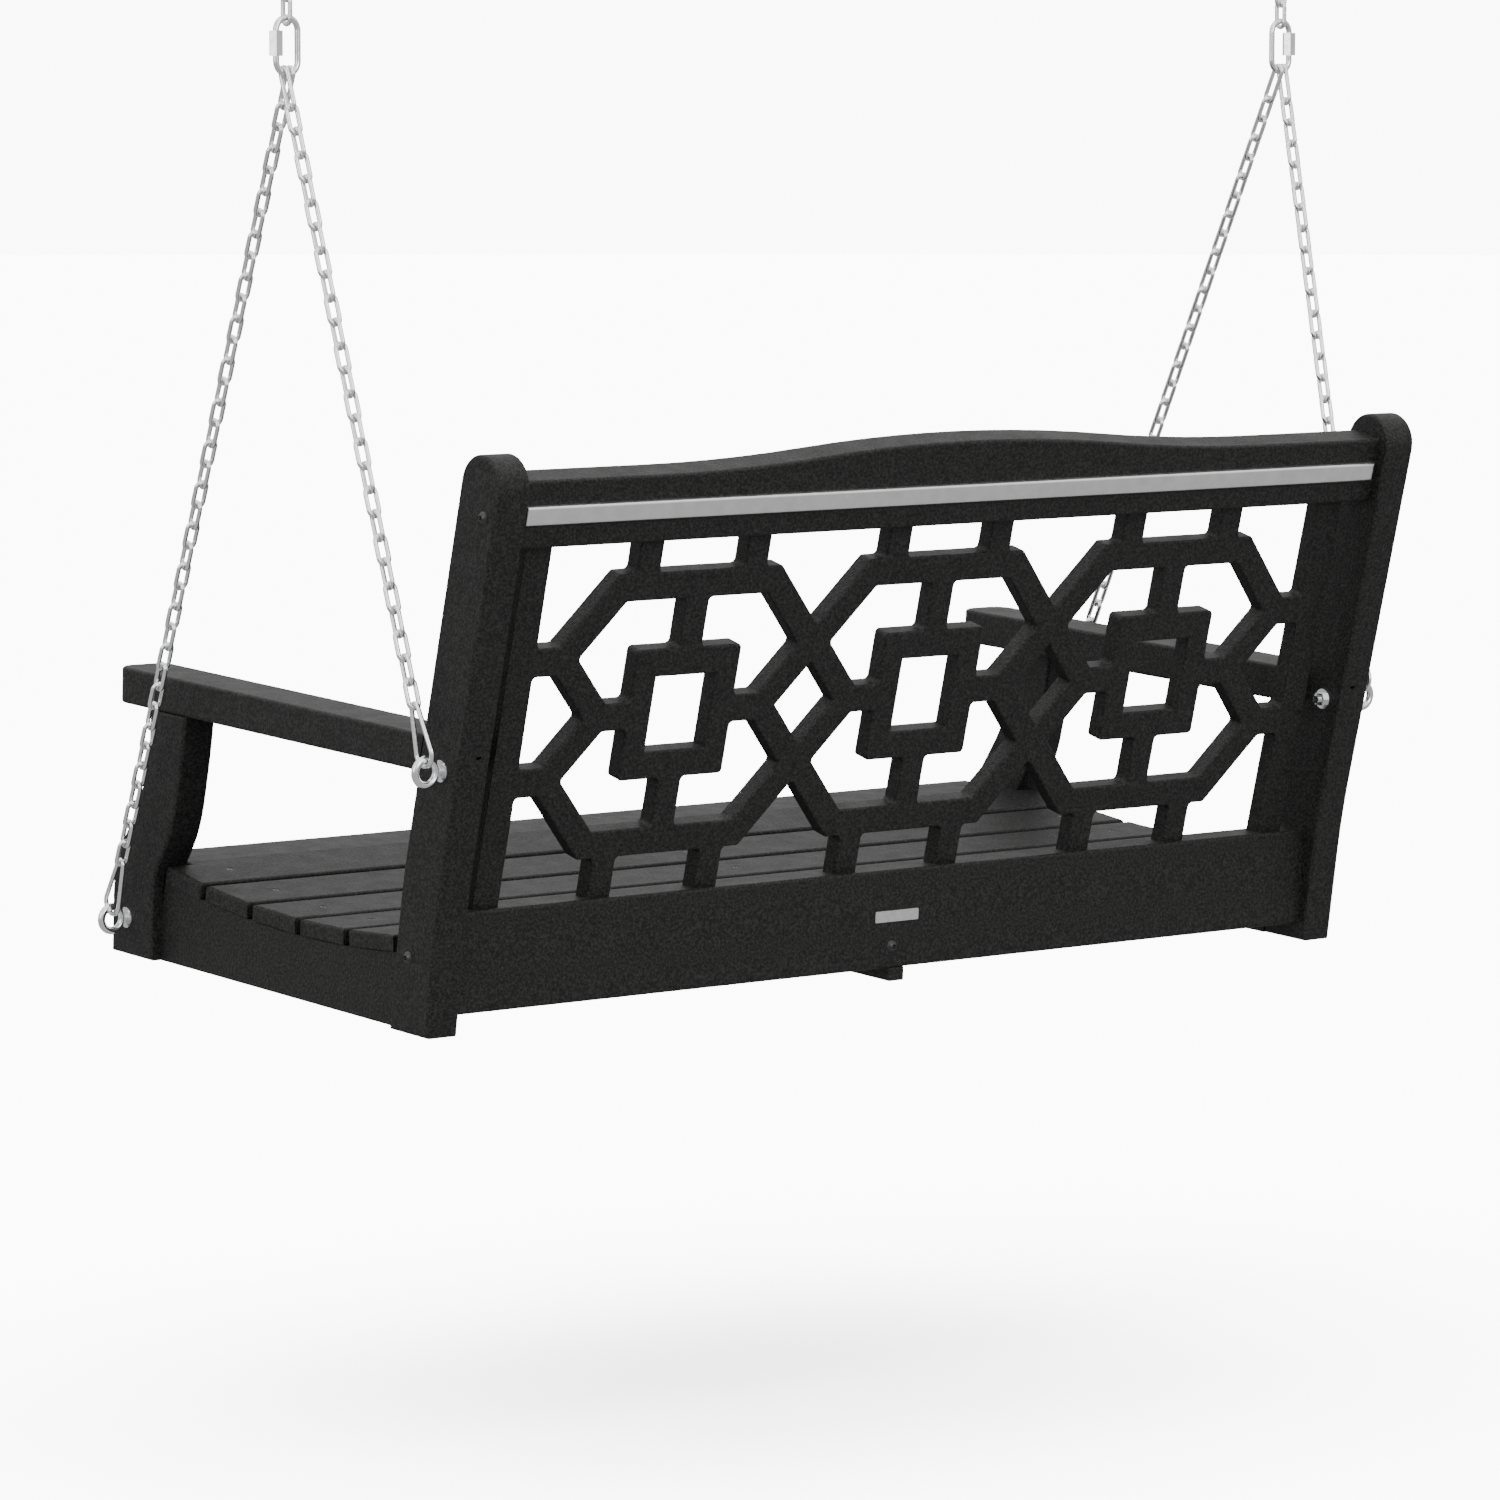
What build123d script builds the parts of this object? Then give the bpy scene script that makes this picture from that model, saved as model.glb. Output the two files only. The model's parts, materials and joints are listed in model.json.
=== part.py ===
from build123d import *
from math import cos, hypot, radians, sin, sqrt, tan
import os

# Porch swing in its hanging pose. +X is the sitter's left, -Y the front, +Z up.
# The origin lies on the ceiling, midway between the two ceiling hangers.

# ---------------------------------------------------------------- driving dimensions
half_width = 609.6  # outer faces of posts, legs and arms
lumber = 38.1  # thickness of posts, legs, arms, crest rail and rear apron
board = 25.4  # thickness of side rails, seat supports and front apron
edge_round = 3.5  # rounded edges of every board
seat_tilt = 2.8  # degrees, the seat frame hangs with its rear lower

# Hanging hardware: wire diameters, sizes and running clearances
chain_wire = 4.8
chain_width = 17.0
chain_pitch = 23.7
link_gap = 0.1  # between neighbouring links of one chain
hook_gap = 0.35  # between a link and the bow that it swings on
upper_links = 5
bow_wire = 6.4  # quick link and hanger loop
quick_length = 62.0
quick_width = 32.0
bow_opening = 12.0  # gap in the quick link's outer strand, inside its sleeve nut
sleeve_length = 25.0
sleeve_size = 13.0
hanger_x = 665.0  # distance of each chain from the middle
plate_length = 90.0  # ceiling plate, along Y
plate_width = 38.0
plate_thickness = 5.0
plate_hole = 7.0
plate_hole_spacing = 64.0
loop_depth = 34.0  # ceiling to the middle of the loop's bottom wire

# Back: posts, crest rail and panel
post_depth = 64.0
post_top_u = 264.2  # centre of the half-round top, from the hinge line of the quick links
post_top_v = -386.0
post_lean = 11.6  # degrees in the seat frame
foot_lean = 6.0
base_v = -942.0  # underside of posts, legs and side rails
panel_thickness = 19.0
panel_half_width = 545.0
panel_middle = -248.2  # below the centre of the post top, along the back
panel_half_height = 188.0
panel_rear = 4.5  # rear face of the panel behind the middle plane of the posts
rail_rear = 18.0
rail_low = -60.2
rail_end_top = 10.0
rail_rise = 20.0
rail_ogee = 400.0  # half length of the raised middle
bar_half_length = 565.0
bar_height = 19.5
bar_thickness = 6.0
bar_middle = -25.0

# Fretwork: one motif, repeated three times
motif_pitch = 320.0
strip = 29.4  # width of every strip of the fretwork
diagonal = 1.155  # rise over run of the slanted strips
tab_inner = 53.5
tab_outer = 82.5
ring_top = 151.0
waist = 122.0  # outer corner of the ring's waist
frame_half_x = 66.0
frame_half_y = 69.5
window_half_x = 37.5
window_half_y = 39.7
connector_half = 14.7
stile_inner = 192.5  # inner edge of the outer stile, from the middle of the outer motif
corner_round = 5.0
panel_round = 2.5

# Seat: slats on a shallow dish, measured from the hinge line of the quick links
slat_thickness = 17.5
slat_width = 77.0
slat_pitch = 86.5
slat_count = 5
first_slat_u = -263.5
slat_half_length = 599.0
dish_low_u = -50.0
dish_low_v = -858.0
dish_radius = 1600.0
front_slat_u = -347.0
front_slat_v = -842.0
front_slat_width = 78.0
leg_notch = (12.0, 29.0)  # notch of slat 1 round the front legs, deep and long
rear_slat_u = 136.0
rear_slat_width = 19.0
support_x = 538.0
support_board = 19.0
front_board = 12.7
front_board_height = 34.0
apron_rear_u = 188.0
apron_top_v = -819.0
apron_low_v = -923.3
support_low_v = {"left": -919.0, "middle": -937.5, "right": -919.0}
arm_front_u = -380.0
arm_top_v = -638.5
arm_width = 63.5
arm_corner = 20.0
leg_front_u = -378.0

# Fasteners
eye_rear = (212.0, -671.0)
eye_front = (-349.0, -902.5)
eye_offset = 19.0  # ring centre beyond the outer face
eye_ring = 33.4
eye_wire = 8.0
eye_bore = 8.4
washer_size = 22.0
washer_thickness = 1.8
nut_size = 13.0
screw_head = 13.0
screw_shank = 5.0
slat_screw_head = 8.5
slat_screw_shank = 4.0
drill_gap = 0.1
label_size = (58.0, 12.0)
label_spot = (3.0, -868.0)

# ---------------------------------------------------------------- frames of reference
tilt = radians(seat_tilt)
bow_reach = (quick_length - bow_wire) / 2
hook_reach = (bow_wire + chain_wire) / 2 + 0.7 + hook_gap
upper_run = upper_links * chain_pitch + chain_wire + link_gap - 2 * hook_reach
hinge_z = -(loop_depth + upper_run + 2 * bow_reach)
side = Plane(origin=(0, 0, hinge_z), x_dir=(0, cos(tilt), -sin(tilt)), z_dir=(1, 0, 0))


def spot(u, v, x=0):
    """A point of the seat frame: u to the back, v up, x to the sitter's left."""
    return side.from_local_coords(Vector(u, v, x))


back_tilt = radians(post_lean)
back_up = side.from_local_coords(Vector(sin(back_tilt), cos(back_tilt), 0)) - side.origin
back_out = side.from_local_coords(Vector(cos(back_tilt), -sin(back_tilt), 0)) - side.origin
post_top = spot(post_top_u, post_top_v)


def back_plane(behind):
    """Plane along the back, behind the posts' middle plane; x along X, y up, normal to front."""
    return Plane(origin=post_top + back_out * behind, x_dir=(1, 0, 0), z_dir=back_out * -1)


def back_spot(behind, up):
    """Seat frame position (u, v) of a point given along and behind the back."""
    u = post_top_u + behind * cos(back_tilt) + up * sin(back_tilt)
    v = post_top_v - behind * sin(back_tilt) + up * cos(back_tilt)
    return (u, v)


def dish_height(u):
    """Top of the seat dish at u."""
    return dish_low_v + (u - dish_low_u) ** 2 / (2 * dish_radius)


def dish_slope(u):
    return (u - dish_low_u) / dish_radius


os.makedirs("parts", exist_ok=True)


def write(piece, name):
    piece.label = name
    export_step(piece, f"parts/{name}.step")


def round_sides(part, axis, radius=edge_round):
    """Round the outlines of the two broad faces of a board."""
    faces = part.faces().sort_by(axis)
    fillet(faces[0].edges() + faces[-1].edges(), radius)


# ---------------------------------------------------------------- screws and their holes
rail_screw = back_spot(12.0, bar_middle - 2)
rail_screw_low = back_spot(-8.0, bar_middle - 22)
apron_screw = (162.0, -865.0)
support_screw = (8.0, -900.0)
side_screw_spots = [rail_screw, apron_screw]
rear_hole_x = half_width - 23.2
rear_hole_v = (-654.5, -890.5, -928.5)


def post_rear_u(v):
    """Rear face of the posts at height v."""
    upper = back_spot(post_depth / 2, 0)
    if v > -800:
        return upper[0] + (v - upper[1]) * tan(back_tilt)
    return 200.8 + (v + 890.5) * tan(radians(foot_lean))


with BuildPart() as side_screw:
    with BuildSketch(Plane.XZ):
        with BuildLine():
            Polyline((screw_head / 2, 0), (0, 0), (0, 3.6))
            ThreePointArc((0, 3.6), (screw_head / 3.4, 2.7), (screw_head / 2, 0))
        make_face()
    revolve(axis=Axis.Z)
    with BuildSketch(Plane.XY.offset(3.6)):
        RegularPolygon(radius=2.3, side_count=6, major_radius=False)
    extrude(amount=-2.4, mode=Mode.SUBTRACT)
    with BuildSketch(Plane.XY):
        Circle(screw_shank / 2)
    extrude(amount=-72)

with BuildPart() as slat_screw:
    with BuildSketch(Plane.XY.offset(-0.4)):
        Circle(slat_screw_head / 2)
    extrude(amount=-2.6)
    with BuildSketch(Plane.XY.offset(-0.4)):
        RegularPolygon(radius=1.5, side_count=4)
    extrude(amount=-1.6, mode=Mode.SUBTRACT)
    with BuildSketch(Plane.XY.offset(-3)):
        Circle(slat_screw_shank / 2)
    extrude(amount=-40)

with BuildPart() as slat_drill:
    with BuildSketch(Plane.XY.offset(1)):
        Circle(slat_screw_head / 2 + drill_gap)
    extrude(amount=-4.0 - drill_gap)
    with BuildSketch(Plane.XY.offset(-3)):
        Circle(slat_screw_shank / 2 + drill_gap)
    extrude(amount=-40 - drill_gap)

slat_centres = [first_slat_u + slat_pitch * i for i in range(slat_count)]
slat_planes = []
for u in [front_slat_u] + slat_centres + [rear_slat_u]:
    lean_u = dish_slope(u) if u > -300 else 0.0
    top_v = dish_height(u) if u > -300 else front_slat_v
    slope = Vector(cos(lean_u), sin(lean_u), 0)
    x_dir = side.from_local_coords(slope) - side.origin
    z_dir = side.from_local_coords(Vector(-sin(lean_u), cos(lean_u), 0)) - side.origin
    slat_planes.append(Plane(origin=spot(u, top_v), x_dir=x_dir, z_dir=z_dir))

slat_screw_places = []
for plane in slat_planes:
    for x in (-support_x, 0, support_x):
        slat_screw_places.append(plane.location * Location((0, -x, 0)))

with BuildPart() as slat_screws:
    with Locations(*slat_screw_places):
        add(slat_screw.part)
write(slat_screws.part, "slat_screws")

with BuildPart() as slat_drills:
    with Locations(*slat_screw_places):
        add(slat_drill.part)

side_places = []
for u, v in side_screw_spots:
    left = Plane(origin=spot(u, v, half_width), x_dir=(0, 1, 0), z_dir=(1, 0, 0))
    right = Plane(origin=spot(u, v, -half_width), x_dir=(0, 1, 0), z_dir=(-1, 0, 0))
    side_places += [left.location, right.location]
support_place = Plane(
    origin=spot(apron_rear_u, support_screw[1], support_screw[0]),
    x_dir=(1, 0, 0),
    z_dir=spot(1, 0) - spot(0, 0),
)
side_places.append(support_place.location)

with BuildPart() as frame_screws:
    with Locations(*side_places):
        add(side_screw.part)
write(frame_screws.part, "frame_screws")

rear_places = []
for v in rear_hole_v:
    for x in (rear_hole_x, -rear_hole_x):
        rear = Plane(
            origin=spot(post_rear_u(v), v, x), x_dir=(1, 0, 0), z_dir=spot(1, 0) - spot(0, 0)
        )
        rear_places.append(rear.location)

with BuildPart() as rear_screw:
    with BuildSketch(Plane.XY.offset(-6)):
        Circle(3.6)
    extrude(amount=-3)
    with BuildSketch(Plane.XY.offset(-6)):
        RegularPolygon(radius=1.5, side_count=4)
    extrude(amount=-1.6, mode=Mode.SUBTRACT)
    with BuildSketch(Plane.XY.offset(-9)):
        Circle(slat_screw_shank / 2)
    extrude(amount=-86)

with BuildPart() as rear_screws:
    with Locations(*rear_places):
        add(rear_screw.part)
write(rear_screws.part, "post_rear_screws")

with BuildPart() as drills:
    with Locations(*side_places):
        Cylinder(screw_shank / 2 + drill_gap, 72 + drill_gap, align=(Align.CENTER, Align.CENTER, Align.MAX))
    with Locations(*rear_places):
        Cylinder(3.6 + drill_gap, 9 + drill_gap, align=(Align.CENTER, Align.CENTER, Align.MAX))
    with Locations(*rear_places):
        Cylinder(
            slat_screw_shank / 2 + drill_gap,
            95 + drill_gap,
            align=(Align.CENTER, Align.CENTER, Align.MAX),
        )

with BuildPart() as eye_bores:
    for u, v in (eye_rear, eye_front):
        with BuildSketch(side.offset(half_width + 1)):
            with Locations((u, v)):
                Circle(eye_bore / 2)
        extrude(amount=-lumber - 2)

# ---------------------------------------------------------------- rear posts
bend_high = -760.0
bend_low = -856.0


def edge_of_post(offset):
    """Corner points of one long edge, offset from the post's middle line."""
    top = back_spot(offset, 0)
    high = (top[0] + (bend_high - top[1]) * tan(back_tilt), bend_high)
    run = tan(radians(foot_lean))
    middle_low = post_top_u + (bend_high - post_top_v) * tan(back_tilt) - 18.5
    low = (middle_low + offset / cos(radians(foot_lean)) + 4.5, bend_low)
    foot = (low[0] + (base_v - bend_low) * run, base_v)
    return top, high, low, foot


with BuildPart() as rear_post_left:
    with BuildSketch(side.offset(half_width - lumber)):
        with BuildLine():
            front = edge_of_post(-post_depth / 2)
            rear = edge_of_post(post_depth / 2)
            crown = back_spot(0, post_depth / 2)
            up_slope = (sin(back_tilt), cos(back_tilt))
            down_slope = (sin(radians(foot_lean)), cos(radians(foot_lean)))
            ThreePointArc(front[0], crown, rear[0])
            Line(rear[0], rear[1])
            Spline(
                rear[1],
                rear[2],
                tangents=((-up_slope[0], -up_slope[1]), (-down_slope[0], -down_slope[1])),
            )
            Line(rear[2], rear[3])
            Line(rear[3], front[3])
            Line(front[3], front[2])
            Spline(front[2], front[1], tangents=(down_slope, up_slope))
            Line(front[1], front[0])
        make_face()
    extrude(amount=lumber)
    round_sides(rear_post_left, Axis.X)
    add(eye_bores.part, mode=Mode.SUBTRACT)
    add(drills.part, mode=Mode.SUBTRACT)
write(rear_post_left.part, "rear_post_left")

with BuildPart() as rear_post_right:
    mirror(rear_post_left.part, about=Plane.YZ)
write(rear_post_right.part, "rear_post_right")

# ---------------------------------------------------------------- front legs
leg_top_v = arm_top_v - lumber
with BuildPart() as front_leg_left:
    with BuildSketch(side.offset(half_width - lumber)):
        with BuildLine():
            rear_top = (-246.0, leg_top_v)
            rear_low = (-302.0, -890.0)
            front_top = (-312.0, leg_top_v)
            front_low = (leg_front_u, -885.0)
            Spline(
                rear_top,
                (-257.0, -752.0),
                (-275.0, -812.0),
                (-295.5, -846.0),
                rear_low,
                tangents=((-0.06, -1), (0, -1)),
            )
            Line(rear_low, (rear_low[0], base_v))
            Line((rear_low[0], base_v), (leg_front_u, base_v))
            Line((leg_front_u, base_v), front_low)
            Spline(
                front_low,
                (-361.0, -823.0),
                (-331.0, -774.0),
                (-316.0, -728.0),
                front_top,
                tangents=((0, 1), (0.04, 1)),
            )
            Line(front_top, rear_top)
        make_face()
    extrude(amount=lumber)
    round_sides(front_leg_left, Axis.X)
    add(eye_bores.part, mode=Mode.SUBTRACT)
write(front_leg_left.part, "front_leg_left")

with BuildPart() as front_leg_right:
    mirror(front_leg_left.part, about=Plane.YZ)
write(front_leg_right.part, "front_leg_right")

# ---------------------------------------------------------------- arms
arm_low_v = arm_top_v - lumber
post_front_top = back_spot(-post_depth / 2, 0)


def post_front_u(v):
    return post_front_top[0] + (v - post_front_top[1]) * tan(back_tilt)


with BuildPart() as arm_left:
    with BuildSketch(side.offset(half_width - arm_width)):
        with BuildLine():
            Polyline(
                (arm_front_u, arm_top_v),
                (post_front_u(arm_top_v), arm_top_v),
                (post_front_u(arm_low_v), arm_low_v),
                (arm_front_u, arm_low_v),
                close=True,
            )
        make_face()
    extrude(amount=arm_width)
    corners = arm_left.faces().sort_by(Axis.Y)[0].edges().filter_by(Axis.X, reverse=True)
    fillet(corners, arm_corner)
    top_axis = Axis(spot(0, 0), spot(0, 1) - spot(0, 0))
    arm_faces = arm_left.faces().sort_by(top_axis)
    fillet(arm_faces[0].edges() + arm_faces[-1].edges(), edge_round)
    add(drills.part, mode=Mode.SUBTRACT)
write(arm_left.part, "arm_left")

with BuildPart() as arm_right:
    mirror(arm_left.part, about=Plane.YZ)
write(arm_right.part, "arm_right")

# ---------------------------------------------------------------- seat rails and supports
bed = slat_thickness + 0.6  # depth of the supports' top edge below the dish
rail_front_u = -301.9
rail_high_u = -296.0
leg_step_v = -890.0


def dished_top(u_front, u_rear):
    """Arc under the slats, from front to rear."""
    u_middle = (u_front + u_rear) / 2
    return ThreePointArc(
        (u_front, dish_height(u_front) - bed),
        (u_middle, dish_height(u_middle) - bed),
        (u_rear, dish_height(u_rear) - bed),
    )


with BuildPart() as side_rail_left:
    with BuildSketch(side.offset(half_width - lumber)):
        with BuildLine():
            post_low, post_foot = edge_of_post(-post_depth / 2)[2:]
            rear_high_v = dish_height(post_low[0]) - bed
            rear_high_u = post_low[0] - 0.4 + (rear_high_v - bend_low) * tan(radians(foot_lean))
            dished_top(rail_high_u, rear_high_u)
            Polyline(
                (rear_high_u, dish_height(rear_high_u) - bed),
                (post_foot[0] - 0.4, base_v),
                (rail_front_u, base_v),
                (rail_front_u, leg_step_v),
                (rail_high_u, dish_height(rail_high_u) - bed),
            )
        make_face()
    extrude(amount=board)
    add(drills.part, mode=Mode.SUBTRACT)
write(side_rail_left.part, "side_rail_left")

with BuildPart() as side_rail_right:
    mirror(side_rail_left.part, about=Plane.YZ)
write(side_rail_right.part, "side_rail_right")

apron_front_u = apron_rear_u - lumber
support_step_v = {"left": -912.0, "middle": apron_low_v, "right": -912.0}
support_rear_u = {"left": apron_front_u - 1, "middle": apron_rear_u - 1, "right": apron_front_u - 1}
front_apron_u = -372.0
support_front_u = front_apron_u + front_board
support_places = {"left": support_x, "middle": 0.0, "right": -support_x}
for place, x in support_places.items():
    low_v = support_low_v[place]
    with BuildPart() as seat_support:
        with BuildSketch(side.offset(x - support_board / 2)):
            with BuildLine():
                flat_v = front_slat_v - slat_thickness
                Polyline(
                    (support_front_u, flat_v),
                    (-300.0, flat_v),
                    (-293.0, dish_height(-293.0) - bed),
                )
                dished_top(-293.0, apron_front_u)
                Polyline(
                    (apron_front_u, dish_height(apron_front_u) - bed),
                    (apron_front_u, support_step_v[place]),
                    (support_rear_u[place], support_step_v[place]),
                    (support_rear_u[place], low_v),
                    (support_front_u, low_v),
                    (support_front_u, flat_v),
                )
            make_face()
        extrude(amount=support_board)
        add(drills.part, mode=Mode.SUBTRACT)
        add(slat_drills.part, mode=Mode.SUBTRACT)
    write(seat_support.part, f"seat_support_{place}")

inner = half_width - lumber
with BuildPart() as rear_apron:
    with BuildSketch(side.offset(-inner)):
        with Locations((apron_rear_u - lumber / 2, (apron_top_v + apron_low_v) / 2)):
            Rectangle(lumber, apron_top_v - apron_low_v)
    extrude(amount=2 * inner)
    fillet(rear_apron.edges().filter_by(Axis.X), edge_round)
    add(drills.part, mode=Mode.SUBTRACT)
write(rear_apron.part, "rear_apron")

front_apron_high = front_slat_v - slat_thickness
front_apron_half = support_x - support_board / 2
with BuildPart() as front_apron:
    with BuildSketch(side.offset(-front_apron_half)):
        with Locations((front_apron_u + front_board / 2, front_apron_high - front_board_height / 2)):
            Rectangle(front_board, front_board_height)
    extrude(amount=2 * front_apron_half)
    fillet(front_apron.edges().filter_by(Axis.X), edge_round - 1)
    add(slat_drills.part, mode=Mode.SUBTRACT)
write(front_apron.part, "front_apron")

# ---------------------------------------------------------------- seat slats
slat_names = ["front"] + [str(i + 1) for i in range(slat_count)] + ["rear"]
for plane, name in zip(slat_planes, slat_names):
    between_posts = name in ("front", "rear")
    half_length = inner - 1.0 if between_posts else slat_half_length
    width = {"front": front_slat_width, "rear": rear_slat_width}.get(name, slat_width)
    with BuildPart() as seat_slat:
        with BuildSketch(plane):
            Rectangle(width, 2 * half_length)
            if name == "1":
                notch_u = (leg_notch[0] - width) / 2
                notch_x = half_length - leg_notch[1] / 2
                with Locations((notch_u, notch_x), (notch_u, -notch_x)):
                    Rectangle(*leg_notch, mode=Mode.SUBTRACT)
        extrude(amount=-slat_thickness)
        high_edges = seat_slat.faces().sort_by(Axis.Z)[-1].edges()
        fillet(high_edges, edge_round)
        low_edges = seat_slat.faces().sort_by(Axis.Z)[0].edges()
        fillet(low_edges, 2)
        add(slat_drills.part, mode=Mode.SUBTRACT)
    write(seat_slat.part, f"seat_slat_{name}")

# ---------------------------------------------------------------- crest rail and bar
with BuildPart() as crest_rail:
    with BuildSketch(back_plane(rail_rear)):
        with BuildLine():
            middle_top = rail_end_top + rail_rise
            half_top = rail_end_top + rail_rise / 2
            half_ogee = rail_ogee / 2
            dip = rail_rise / 8
            Line((-inner, rail_low), (inner, rail_low))
            Line((inner, rail_low), (inner, rail_end_top))
            Line((inner, rail_end_top), (rail_ogee, rail_end_top))
            ThreePointArc(
                (rail_ogee, rail_end_top),
                (rail_ogee * 0.75, rail_end_top + dip),
                (half_ogee, half_top),
            )
            ThreePointArc((half_ogee, half_top), (0, middle_top), (-half_ogee, half_top))
            ThreePointArc(
                (-half_ogee, half_top),
                (-rail_ogee * 0.75, rail_end_top + dip),
                (-rail_ogee, rail_end_top),
            )
            Line((-rail_ogee, rail_end_top), (-inner, rail_end_top))
            Line((-inner, rail_end_top), (-inner, rail_low))
        make_face()
    extrude(amount=lumber)
    long_edges = crest_rail.edges().filter_by(lambda edge: edge.length > 100)
    fillet(long_edges, edge_round)
    add(drills.part, mode=Mode.SUBTRACT)
write(crest_rail.part, "crest_rail")

with BuildPart() as stiffener_bar:
    with BuildSketch(back_plane(rail_rear)):
        with Locations((0, bar_middle)):
            Rectangle(2 * bar_half_length, bar_height)
    extrude(amount=-bar_thickness)
    out_axis = Axis(back_plane(0).origin, back_out)
    bar_face = stiffener_bar.faces().sort_by(out_axis)[-1]
    fillet(bar_face.edges(), 2.8)
write(stiffener_bar.part, "stiffener_bar")

# ---------------------------------------------------------------- fretwork panel
top = panel_half_height + 18
ring_in = ring_top - strip
slant = strip * sqrt(1 + diagonal**2) / diagonal  # width of a slanted strip, measured along x
waist_in = waist - slant


def out_line(y):
    """Outer edge of the ring's waist at height y."""
    return waist + abs(y) / diagonal


shoulder = 102.5  # outer end of the ring's top edge
cross_y = ring_top - (motif_pitch / 2 - shoulder) * diagonal
in_shoulder = shoulder + strip / diagonal - slant
vertex_y = (in_shoulder + ring_in / diagonal - waist_in) * diagonal / 2
vertex_x = waist_in + vertex_y / diagonal
side_low = cross_y - 6.0  # underside of the opening beside the stile
side_x = shoulder + (ring_top - side_low) / diagonal
side_waist = side_low - strip - 1.0
diamond = motif_pitch / 2 - waist

corner_opening = [
    (connector_half, ring_in),
    (in_shoulder, ring_in),
    (vertex_x, vertex_y),
    (waist_in + connector_half / diagonal, connector_half),
    (frame_half_x, connector_half),
    (frame_half_x, frame_half_y),
    (connector_half, frame_half_y),
]
valley = [
    (tab_outer, top),
    (tab_outer, ring_top),
    (shoulder, ring_top),
    (motif_pitch / 2, cross_y),
    (motif_pitch - shoulder, ring_top),
    (motif_pitch - tab_outer, ring_top),
    (motif_pitch - tab_outer, top),
]
stile_opening = [
    (tab_outer, top),
    (tab_outer, ring_top),
    (shoulder, ring_top),
    (side_x, side_low),
    (stile_inner, side_low),
    (stile_inner, top),
]
stile_waist = [
    (waist, 0),
    (out_line(side_waist), side_waist),
    (stile_inner, side_waist),
    (stile_inner, -side_waist),
    (out_line(side_waist), -side_waist),
]


def cut(points, x=0.0, flip_x=1, flip_y=1):
    """Cut one opening with rounded corners out of the panel's sketch."""
    outline = [(x + flip_x * px, flip_y * py) for px, py in points]
    with BuildSketch(mode=Mode.PRIVATE) as hole:
        Polygon(*outline, align=None)
        fillet(hole.vertices(), corner_round)
    add(hole.sketch, mode=Mode.SUBTRACT)


with BuildPart() as fretwork_panel:
    panel_face = back_plane(panel_rear)
    panel_face = Plane(
        origin=panel_face.from_local_coords(Vector(0, panel_middle, 0)),
        x_dir=panel_face.x_dir,
        z_dir=panel_face.z_dir,
    )
    with BuildSketch(panel_face):
        Rectangle(2 * panel_half_width, 2 * top + 20)
        for centre in (-motif_pitch, 0.0, motif_pitch):
            with Locations((centre, 0)):
                Rectangle(2 * window_half_x, 2 * window_half_y, mode=Mode.SUBTRACT)
            for flip_y in (1, -1):
                flap = [(-tab_inner, top), (-tab_inner, ring_top), (tab_inner, ring_top), (tab_inner, top)]
                cut(flap, centre, 1, flip_y)
                for flip_x in (1, -1):
                    cut(corner_opening, centre, flip_x, flip_y)
        for flip_y in (1, -1):
            cut(valley, 0.0, 1, flip_y)
            cut(valley, 0.0, -1, flip_y)
            cut(stile_opening, motif_pitch, 1, flip_y)
            cut(stile_opening, -motif_pitch, -1, flip_y)
        cut(stile_waist, motif_pitch)
        cut(stile_waist, -motif_pitch, -1)
        with Locations((motif_pitch / 2, 0), (-motif_pitch / 2, 0)):
            Polygon((-diamond, 0), (0, diamond * diagonal), (diamond, 0), (0, -diamond * diagonal),
                    mode=Mode.SUBTRACT)
    extrude(amount=panel_thickness)
    panel_out = Axis(panel_face.origin, back_out)
    rear_face = fretwork_panel.faces().sort_by(panel_out)[-1]
    opening_edges = [edge for wire in rear_face.inner_wires() for edge in wire.edges()]
    fillet(opening_edges, panel_round)
    rail_face = Plane(
        origin=panel_face.from_local_coords(Vector(0, panel_half_height, 0)), z_dir=back_up * -1
    )
    split(bisect_by=rail_face, keep=Keep.TOP)
    apron_face = Plane(origin=spot(0, apron_top_v), x_dir=(1, 0, 0), z_dir=spot(0, 1) - spot(0, 0))
    split(bisect_by=apron_face, keep=Keep.TOP)
write(fretwork_panel.part, "fretwork_panel")

with BuildPart() as label_plate:
    label_face = Plane(
        origin=spot(apron_rear_u, label_spot[1], label_spot[0]),
        x_dir=(-1, 0, 0),
        z_dir=spot(1, 0) - spot(0, 0),
    )
    with BuildSketch(label_face):
        RectangleRounded(label_size[0], label_size[1], 1.5)
    extrude(amount=0.6)
write(label_plate.part, "label_plate")

# ---------------------------------------------------------------- eye bolts
eye_names = {"rear": eye_rear, "front": eye_front}
washer_places = []
nut_places = []
for name, (u, v) in eye_names.items():
    ring_mid = (eye_ring - eye_wire) / 2
    with BuildPart() as eye_bolt:
        ring_plane = Plane(
            origin=spot(u, v, half_width + eye_offset), x_dir=(1, 0, 0), z_dir=spot(1, 0) - spot(0, 0)
        )
        with Locations(ring_plane.location):
            Torus(ring_mid, eye_wire / 2)
        with BuildSketch(side.offset(half_width + eye_offset - ring_mid)):
            with Locations((u, v)):
                Circle(eye_wire / 2)
        extrude(amount=-(eye_offset - ring_mid + lumber + 12))
    write(eye_bolt.part, f"eye_bolt_{name}_left")
    with BuildPart() as eye_bolt_right:
        mirror(eye_bolt.part, about=Plane.YZ)
    write(eye_bolt_right.part, f"eye_bolt_{name}_right")

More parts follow.
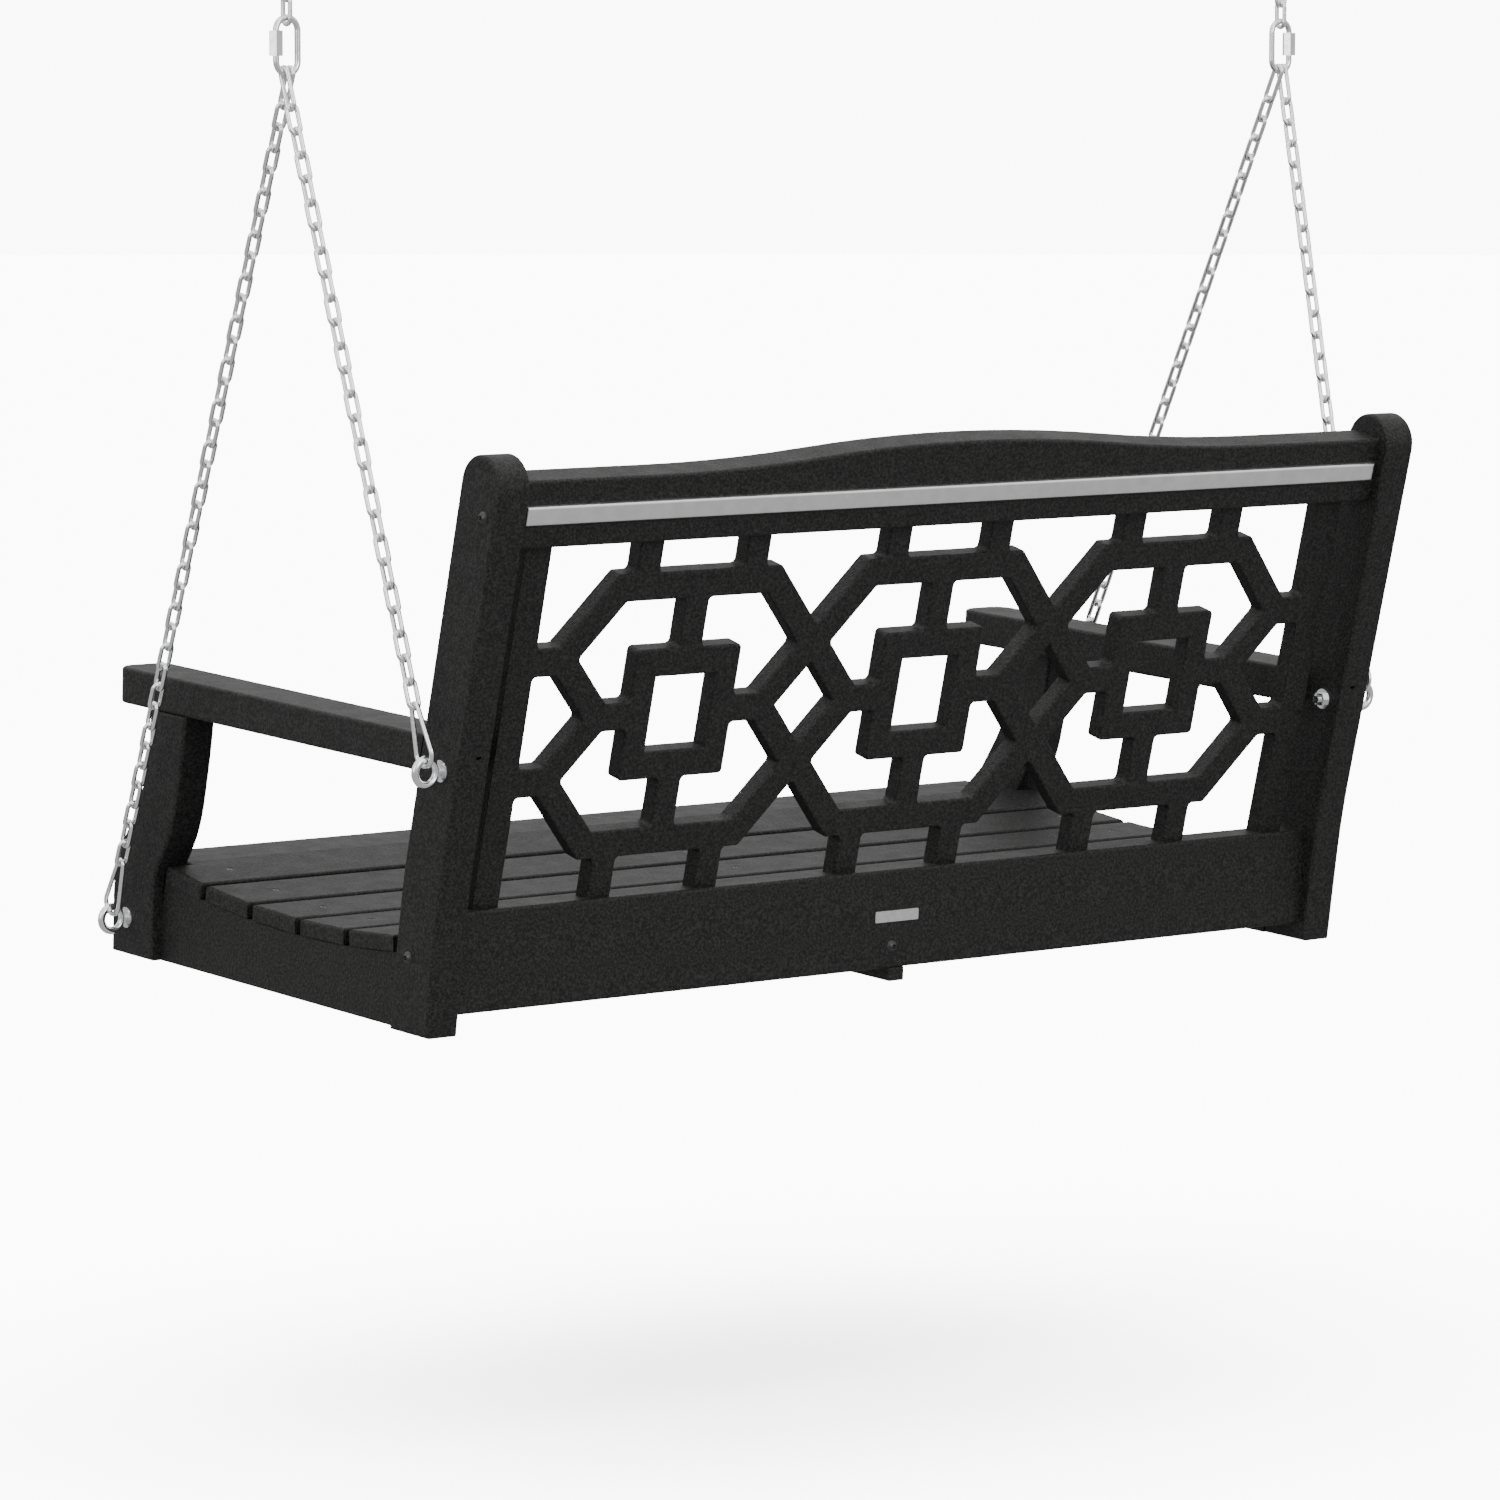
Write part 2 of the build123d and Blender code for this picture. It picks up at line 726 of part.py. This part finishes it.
with BuildPart() as washers_left:
    for u, v in (eye_rear, eye_front):
        for x in (half_width, inner - washer_thickness):
            with BuildSketch(side.offset(x)):
                with Locations((u, v)):
                    Circle(washer_size / 2)
                    Circle(eye_bore / 2, mode=Mode.SUBTRACT)
            extrude(amount=washer_thickness)

with BuildPart() as eye_washers:
    add(washers_left.part)
    mirror(washers_left.part, about=Plane.YZ)
write(eye_washers.part, "eye_washers")

with BuildPart() as nuts_left:
    for u, v in (eye_rear, eye_front):
        nut_x = inner - washer_thickness
        with BuildSketch(side.offset(nut_x)):
            with Locations((u, v)):
                RegularPolygon(nut_size / 2, 6, major_radius=False)
                Circle(eye_wire / 2 + drill_gap, mode=Mode.SUBTRACT)
        extrude(amount=-6.5)

with BuildPart() as eye_nuts:
    add(nuts_left.part)
    mirror(nuts_left.part, about=Plane.YZ)
write(eye_nuts.part, "eye_nuts")

# ---------------------------------------------------------------- chain links


def link_solid(length, width, wire, wide_end=None):
    """Closed wire link along -Z from the middle of its top wire, in the YZ plane."""
    top_radius = (width - wire) / 2
    low_radius = (wide_end - wire) / 2 if wide_end else top_radius
    run = length - top_radius - low_radius
    lean = (low_radius - top_radius) / run
    swing = sqrt(1 - lean**2)
    with BuildPart() as link:
        with BuildLine(Plane.YZ) as path:
            top_centre = (0, -top_radius)
            low_centre = (0, -top_radius - run)
            top_left = (-top_radius * swing, top_centre[1] + top_radius * lean)
            top_right = (top_radius * swing, top_left[1])
            low_left = (-low_radius * swing, low_centre[1] + low_radius * lean)
            low_right = (low_radius * swing, low_left[1])
            Line(low_left, top_left)
            ThreePointArc(top_left, (0, 0), top_right)
            Line(top_right, low_right)
            ThreePointArc(low_right, (0, low_centre[1] - low_radius), low_left)
        start = Plane(origin=path.line @ 0, z_dir=path.line % 0)
        with BuildSketch(start):
            Circle(wire / 2)
        sweep(path=path.line)
    return link.part


plain_span = chain_pitch + chain_wire + link_gap


def chain_frame(start, end):
    """Plane at start whose -Z runs along the chain and whose x axis is closest to X."""
    down = (end - start).normalized()
    return Plane(origin=start, x_dir=Vector(1, 0, 0) - down * down.X, z_dir=down * -1)


# Upper chains: between the hanger loop and the quick link
loop_wire = Vector(hanger_x, 0, -loop_depth)
quick_top = loop_wire - Vector(0, 0, upper_run)
hinge_left = Vector(hanger_x, 0, hinge_z)
chain_link = link_solid(plain_span, chain_width, chain_wire)
upper_places = []
for i in range(upper_links):
    place = Location(loop_wire + Vector(0, 0, hook_reach - i * chain_pitch))
    upper_places.append(place * Location((0, 0, 0), (0, 0, 90 * (i % 2))))

with BuildPart() as upper_chain_left:
    with Locations(*upper_places):
        add(chain_link)
write(upper_chain_left.part, "upper_chain_left")
with BuildPart() as upper_chain_right:
    mirror(upper_chain_left.part, about=Plane.YZ)
write(upper_chain_right.part, "upper_chain_right")

# Quick links: a long bow with a sleeve nut over its threaded gap on the outer side
bow_radius = (quick_width - bow_wire) / 2
straight = bow_reach - bow_radius
quick_middle = (quick_top + hinge_left) * 0.5
nut_high = straight
nut_low = straight - sleeve_length
with BuildPart() as quick_link_left:
    with BuildLine(Plane(origin=quick_middle, x_dir=(1, 0, 0), z_dir=(0, -1, 0))) as path:
        Line((bow_radius, -bow_opening / 2), (bow_radius, -straight))
        ThreePointArc((bow_radius, -straight), (0, -bow_reach), (-bow_radius, -straight))
        Line((-bow_radius, -straight), (-bow_radius, straight))
        ThreePointArc((-bow_radius, straight), (0, bow_reach), (bow_radius, straight))
        Line((bow_radius, straight), (bow_radius, bow_opening / 2))
    with BuildSketch(Plane(origin=path.line @ 0, z_dir=path.line % 0)):
        Circle(bow_wire / 2)
    sweep(path=path.line)
write(quick_link_left.part, "quick_link_left")
with BuildPart() as quick_link_right:
    mirror(quick_link_left.part, about=Plane.YZ)
write(quick_link_right.part, "quick_link_right")

with BuildPart() as quick_nut_left:
    with BuildSketch(Plane(origin=quick_middle + Vector(bow_radius, 0, nut_low))):
        RegularPolygon(sleeve_size / 2, 6, major_radius=False)
        Circle(bow_wire / 2 + 0.08, mode=Mode.SUBTRACT)
    extrude(amount=nut_high - nut_low)
write(quick_nut_left.part, "quick_link_nut_left")
with BuildPart() as quick_nut_right:
    mirror(quick_nut_left.part, about=Plane.YZ)
write(quick_nut_right.part, "quick_link_nut_right")

# Ceiling hangers: screw plate with a welded loop
with BuildPart() as hanger_left:
    with BuildSketch(Plane(origin=(hanger_x, 0, 0))):
        RectangleRounded(plate_width, plate_length, 8)
        with Locations((0, plate_hole_spacing / 2), (0, -plate_hole_spacing / 2)):
            Circle(plate_hole / 2, mode=Mode.SUBTRACT)
    extrude(amount=-plate_thickness)
    with BuildLine(Plane(origin=(hanger_x, 0, 0), x_dir=(1, 0, 0), z_dir=(0, -1, 0))) as path:
        loop_radius = 12.0
        loop_mid = -loop_depth + loop_radius
        Line((-loop_radius, 1 - plate_thickness), (-loop_radius, loop_mid))
        ThreePointArc((-loop_radius, loop_mid), (0, -loop_depth), (loop_radius, loop_mid))
        Line((loop_radius, loop_mid), (loop_radius, 1 - plate_thickness))
    with BuildSketch(Plane(origin=path.line @ 0, z_dir=path.line % 0)):
        Circle(bow_wire / 2)
    sweep(path=path.line)
write(hanger_left.part, "ceiling_hanger_left")
with BuildPart() as hanger_right:
    mirror(hanger_left.part, about=Plane.YZ)
write(hanger_right.part, "ceiling_hanger_right")

# V chains: a long first link, plain links and a pear link into the eye bolt
pear_span = 63.0
pear_width = 30.0
pear_wire = 5.0
first_span = 43.0
side_step = 3.2  # the two chains of one side hang next to each other on the bow
chain_counts = {"rear": 25, "front": 37}
chain_x = {"rear": side_step, "front": -side_step}
for name, (u, v) in eye_names.items():
    start = hinge_left + Vector(chain_x[name], 0, 0)
    ring_mid_radius = (eye_ring - eye_wire) / 2
    end = spot(u, v, half_width + eye_offset)
    pull = (start - end).normalized()
    across = spot(1, 0) - spot(0, 0)
    pull = (pull - across * pull.dot(across)).normalized()
    end = end + pull * ring_mid_radius
    frame = chain_frame(start, end)
    ring_reach = (eye_wire + pear_wire) / 2 + 0.3
    pear_drop = (end - start).length + ring_reach - pear_span
    count = chain_counts[name]
    first_drop = -hook_reach
    second_drop = first_drop + first_span - chain_wire - link_gap
    step = (pear_drop - second_drop) / count
    print(name, "chain pitch", round(step, 2))
    plain = link_solid(step + chain_wire + link_gap, chain_width, chain_wire)
    first = link_solid(first_span, chain_width, chain_wire)
    pear = link_solid(pear_span, chain_width - 1, pear_wire, pear_width)
    places = []
    for i in range(count):
        turn = 90 * ((i + 1) % 2)
        places.append(frame.location * Location((0, 0, -second_drop - i * step), (0, 0, turn)))
    with BuildPart() as chain_left:
        with Locations(frame.location * Location((0, 0, -first_drop))):
            add(first)
        with Locations(*places):
            add(plain)
    write(chain_left.part, f"chain_{name}_left")
    with BuildPart() as chain_right:
        mirror(chain_left.part, about=Plane.YZ)
    write(chain_right.part, f"chain_{name}_right")
    with BuildPart() as pear_left:
        with Locations(frame.location * Location((0, 0, -pear_drop))):
            add(pear)
    write(pear_left.part, f"end_link_{name}_left")
    with BuildPart() as pear_right:
        mirror(pear_left.part, about=Plane.YZ)
    write(pear_right.part, f"end_link_{name}_right")
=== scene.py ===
import json
from math import cos, radians, sin

import bpy
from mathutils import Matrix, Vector

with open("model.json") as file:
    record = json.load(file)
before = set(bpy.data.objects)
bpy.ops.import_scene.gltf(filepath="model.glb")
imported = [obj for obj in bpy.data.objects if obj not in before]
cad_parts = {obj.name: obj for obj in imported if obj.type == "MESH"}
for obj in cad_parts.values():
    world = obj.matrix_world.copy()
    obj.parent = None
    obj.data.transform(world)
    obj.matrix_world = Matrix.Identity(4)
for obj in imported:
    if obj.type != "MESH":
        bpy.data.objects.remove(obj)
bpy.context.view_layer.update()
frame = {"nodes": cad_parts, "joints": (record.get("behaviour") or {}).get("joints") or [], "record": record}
record = frame["record"]
joints = {joint["name"]: joint for joint in frame["joints"]}
pivot_z = joints["seat_swing"]["pos_m"][2]

# ---------------------------------------------------------------- camera
azimuth, elevation = radians(38.14), radians(6.04)
look = Vector(
    (-sin(azimuth) * cos(elevation), -cos(azimuth) * cos(elevation), -sin(elevation))
)
camera_data = bpy.data.cameras.new("camera")
camera_data.lens = 158.4
camera_data.sensor_width = 36.0
camera_data.clip_end = 60.0
camera = bpy.data.objects.new("camera", camera_data)
camera.location = Vector((4.3504, 5.4335, pivot_z + 0.022))
camera.rotation_euler = look.to_track_quat("-Z", "Y").to_euler()
bpy.context.scene.collection.objects.link(camera)
bpy.context.scene.camera = camera


# ---------------------------------------------------------------- materials
class Nodes:
    """A material's node tree with short names for making and linking nodes."""

    def __init__(self, name):
        self.material = bpy.data.materials.new(name)
        self.material.use_nodes = True
        self.tree = self.material.node_tree
        self.shader = self.tree.nodes["Principled BSDF"]

    def new(self, kind, **settings):
        node = self.tree.nodes.new(kind)
        for key, value in settings.items():
            if hasattr(node, key):
                setattr(node, key, value)
            else:
                node.inputs[key].default_value = value
        return node

    def link(self, start, end):
        self.tree.links.new(start, end)

    def noise(self, scale, detail=2.0, rough=0.5, vector=None):
        node = self.new("ShaderNodeTexNoise", Scale=scale, Detail=detail, Roughness=rough)
        if vector is not None:
            self.link(vector, node.inputs["Vector"])
        return node.outputs["Fac"]

    def ramp(self, value, low, high, to_low=0.0, to_high=1.0):
        node = self.new("ShaderNodeMapRange")
        for key, number in zip((1, 2, 3, 4), (low, high, to_low, to_high)):
            node.inputs[key].default_value = number
        self.link(value, node.inputs[0])
        return node.outputs[0]

    def mix(self, factor, one, two):
        node = self.new("ShaderNodeMix", data_type="RGBA")
        self.link(factor, node.inputs[0])
        node.inputs[6].default_value = (*one, 1.0)
        node.inputs[7].default_value = (*two, 1.0)
        return node.outputs[2]


def lumber_material():
    """Black moulded lumber: fine leathery relief and slightly uneven sheen."""
    m = Nodes("black_lumber")
    place = m.new("ShaderNodeTexCoord").outputs["Object"]
    cells = m.new("ShaderNodeTexVoronoi", Scale=380.0, feature="F1")
    m.link(place, cells.inputs["Vector"])
    fine = m.noise(900.0, 3.0, 0.6, place)
    wide = m.noise(38.0, 3.0, 0.5, place)
    tone = m.ramp(m.noise(360.0, 3.0, 0.8, place), 0.42, 0.64)
    colour = m.mix(tone, (0.0035, 0.0035, 0.0034), (0.0290, 0.0290, 0.0278))
    m.link(colour, m.shader.inputs["Base Color"])
    m.link(m.ramp(wide, 0.25, 0.75, 0.50, 0.62), m.shader.inputs["Roughness"])
    m.shader.inputs["Specular IOR Level"].default_value = 0.22
    bump = m.new("ShaderNodeBump", Strength=0.7, Distance=0.0006)
    m.link(cells.outputs["Distance"], bump.inputs["Height"])
    grain = m.new("ShaderNodeBump", Strength=0.35, Distance=0.00025)
    m.link(fine, grain.inputs["Height"])
    m.link(bump.outputs["Normal"], grain.inputs["Normal"])
    m.link(grain.outputs["Normal"], m.shader.inputs["Normal"])
    return m.material


def metal_material(name, colour, dark, rough_low, rough_high, scale):
    """Metal with soft stains in its tone and roughness."""
    m = Nodes(name)
    place = m.new("ShaderNodeTexCoord").outputs["Object"]
    stain = m.ramp(m.noise(scale, 4.0, 0.6, place), 0.35, 0.7)
    m.link(m.mix(stain, colour, dark), m.shader.inputs["Base Color"])
    wear = m.noise(scale * 3, 3.0, 0.6, place)
    m.link(m.ramp(wear, 0.3, 0.7, rough_low, rough_high), m.shader.inputs["Roughness"])
    m.shader.inputs["Metallic"].default_value = 1.0
    bump = m.new("ShaderNodeBump", Strength=0.15, Distance=0.0001)
    m.link(m.noise(scale * 8, 2.0, 0.5, place), bump.inputs["Height"])
    m.link(bump.outputs["Normal"], m.shader.inputs["Normal"])
    return m.material


def screw_material():
    m = Nodes("black_screws")
    place = m.new("ShaderNodeTexCoord").outputs["Object"]
    tone = m.ramp(m.noise(600.0, 3.0, 0.6, place), 0.3, 0.7)
    colour = m.mix(tone, (0.012, 0.012, 0.012), (0.03, 0.03, 0.03))
    m.link(colour, m.shader.inputs["Base Color"])
    m.link(m.ramp(m.noise(900.0, 2.0, 0.5, place), 0.3, 0.7, 0.24, 0.42), m.shader.inputs["Roughness"])
    return m.material


def studio_material():
    m = Nodes("studio_white")
    m.shader.inputs["Base Color"].default_value = (0.93, 0.93, 0.93, 1.0)
    m.shader.inputs["Roughness"].default_value = 0.9
    m.shader.inputs["Specular IOR Level"].default_value = 0.0
    return m.material


finishes = {
    "black_lumber": lumber_material(),
    "satin_aluminium": metal_material(
        "satin_aluminium", (0.86, 0.86, 0.86), (0.76, 0.76, 0.77), 0.28, 0.40, 60.0
    ),
    "label_metal": metal_material(
        "label_metal", (0.80, 0.80, 0.81), (0.66, 0.66, 0.68), 0.25, 0.40, 120.0
    ),
    "black_screws": screw_material(),
    "zinc_hardware": metal_material(
        "zinc_hardware", (0.92, 0.92, 0.93), (0.80, 0.81, 0.82), 0.14, 0.26, 90.0
    ),
    "zinc_chain": metal_material(
        "zinc_chain", (0.94, 0.94, 0.95), (0.82, 0.83, 0.84), 0.14, 0.28, 110.0
    ),
}

for subpart in record["subparts"]:
    node = frame["nodes"][subpart["node"]]
    node.data.materials.clear()
    node.data.materials.append(finishes[subpart["material_slot"]])

# ---------------------------------------------------------------- studio
# The floor has a light of its own, and the dome shows only to the camera.
floor_z = pivot_z - 1.400


def stage_mesh(name, corners, material):
    """A flat stage piece that bounces no light and shows in no reflection."""
    mesh = bpy.data.meshes.new(name)
    mesh.from_pydata(corners, [], [(0, 1, 2, 3)])
    mesh.materials.append(material)
    piece = bpy.data.objects.new(name, mesh)
    bpy.context.scene.collection.objects.link(piece)
    piece.visible_glossy = False
    piece.visible_diffuse = False
    return piece


floor_corners = [(x, y, floor_z) for x, y in ((-60, -60), (60, -60), (60, 60), (-60, 60))]
floor = stage_mesh("floor", floor_corners, studio_material())

world = bpy.data.worlds.new("studio")
world.use_nodes = True
tree = world.node_tree
background = tree.nodes["Background"]
background.inputs["Color"].default_value = (1.0, 1.0, 1.0, 1.0)
direction = tree.nodes.new("ShaderNodeTexCoord")
split = tree.nodes.new("ShaderNodeSeparateXYZ")
tree.links.new(direction.outputs["Generated"], split.inputs[0])
height = tree.nodes.new("ShaderNodeMapRange")
for index, value in ((1, -0.15), (2, 0.70), (3, 0.50), (4, 1.5)):
    height.inputs[index].default_value = value
tree.links.new(split.outputs["Z"], height.inputs[0])
tree.links.new(height.outputs[0], background.inputs["Strength"])
bpy.context.scene.world = world


backdrop_material = Nodes("backdrop_white")
backdrop_material.shader.inputs["Base Color"].default_value = (0.0, 0.0, 0.0, 1.0)
backdrop_material.shader.inputs["Emission Color"].default_value = (1.0, 1.0, 1.0, 1.0)
backdrop_material.shader.inputs["Emission Strength"].default_value = 10.0
bpy.ops.mesh.primitive_uv_sphere_add(segments=48, ring_count=24, radius=40.0)
backdrop = bpy.context.active_object
backdrop.name = "backdrop"
backdrop.data.materials.append(backdrop_material.material)
for ray in ("visible_glossy", "visible_diffuse", "visible_shadow", "visible_transmission"):
    setattr(backdrop, ray, False)


def area_light(name, place, target, size, power, only=None):
    """Soft rectangular light; one with a collection lights nothing else."""
    data = bpy.data.lights.new(name, "AREA")
    data.shape = "RECTANGLE"
    data.size, data.size_y = size
    data.energy = power
    light = bpy.data.objects.new(name, data)
    light.location = place
    light.rotation_euler = (Vector(target) - Vector(place)).to_track_quat("-Z", "Y").to_euler()
    bpy.context.scene.collection.objects.link(light)
    if only:
        light.light_linking.receiver_collection = only


middle = (0.0, 0.0, pivot_z - 0.8)
area_light("top", (0.3, 0.2, 2.6), middle, (3.5, 3.5), 34.0)
area_light("left", (5.5, 1.0, 0.8), middle, (1.6, 3.0), 60.0)
area_light("rear", (0.5, 6.0, 1.4), middle, (3.0, 2.6), 110.0)

floor_only = bpy.data.collections.new("floor_only")
floor_only.objects.link(floor)
sun_data = bpy.data.lights.new("floor_sun", "SUN")
sun_data.energy = 34.0
sun_data.angle = radians(100.0)
sun = bpy.data.objects.new("floor_sun", sun_data)
bpy.context.scene.collection.objects.link(sun)
sun.light_linking.receiver_collection = floor_only
